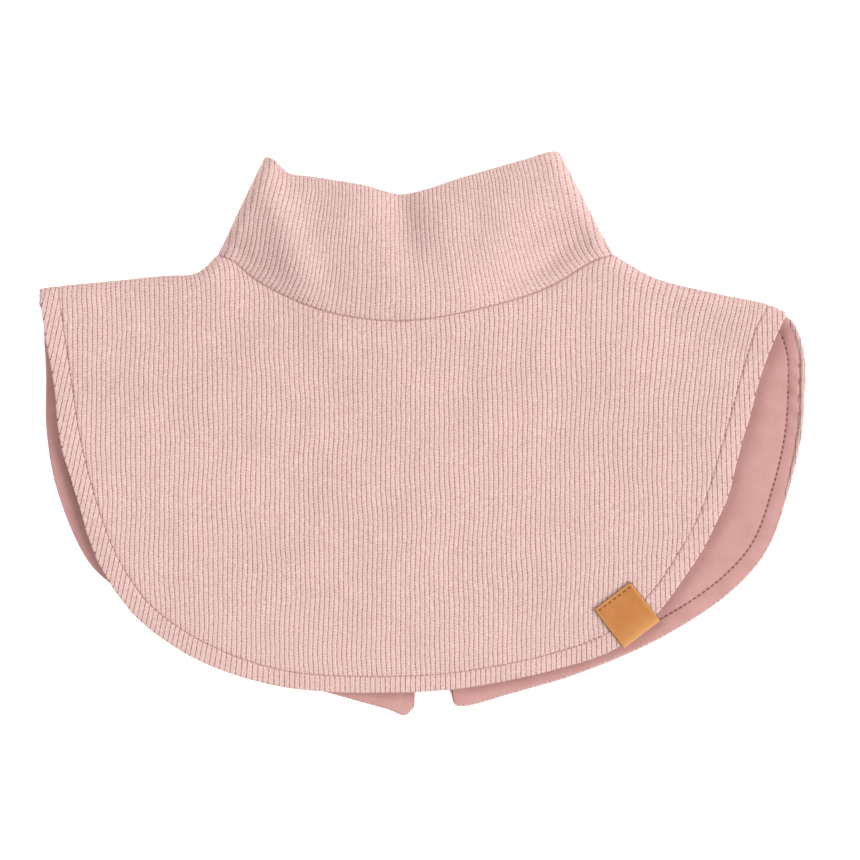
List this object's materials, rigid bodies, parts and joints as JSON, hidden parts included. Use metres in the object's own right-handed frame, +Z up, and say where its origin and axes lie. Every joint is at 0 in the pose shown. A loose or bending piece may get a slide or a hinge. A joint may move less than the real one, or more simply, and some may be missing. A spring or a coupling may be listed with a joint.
{
  "type": "turtleneck dickey",
  "caption": "Child's rib-knit turtleneck dickey lying flat: loose collar on a short jersey-lined yoke, open at the sides, with a leather label folded over the front hem.",
  "frame": {"origin": "on the floor, under the middle of the bounding box of the dickey as it lies", "axes": "+X to the right as the picture shows the front (the wearer's left), +Y from the hem to the collar, +Z up from the floor, out of the front"},
  "size_m": [0.3814, 0.281, 0.0225],
  "materials": {
    "rib_knit": "soft cotton rib knit, powder pink",
    "jersey_lining": "smooth brushed jersey, dusty pink",
    "label_leather": "tan strap leather, semi-matt",
    "hook_and_loop": "woven hook-and-loop pad"
  },
  "bodies": {
    "root": {"collar": "rib_knit", "front_panel": "rib_knit", "front_lining": "jersey_lining", "back_panel_left": "rib_knit", "back_lining_left": "jersey_lining", "back_panel_right": "rib_knit", "back_lining_right": "jersey_lining", "leather_label": "label_leather", "back_closure": "hook_and_loop"}
  },
  "joints": []
}
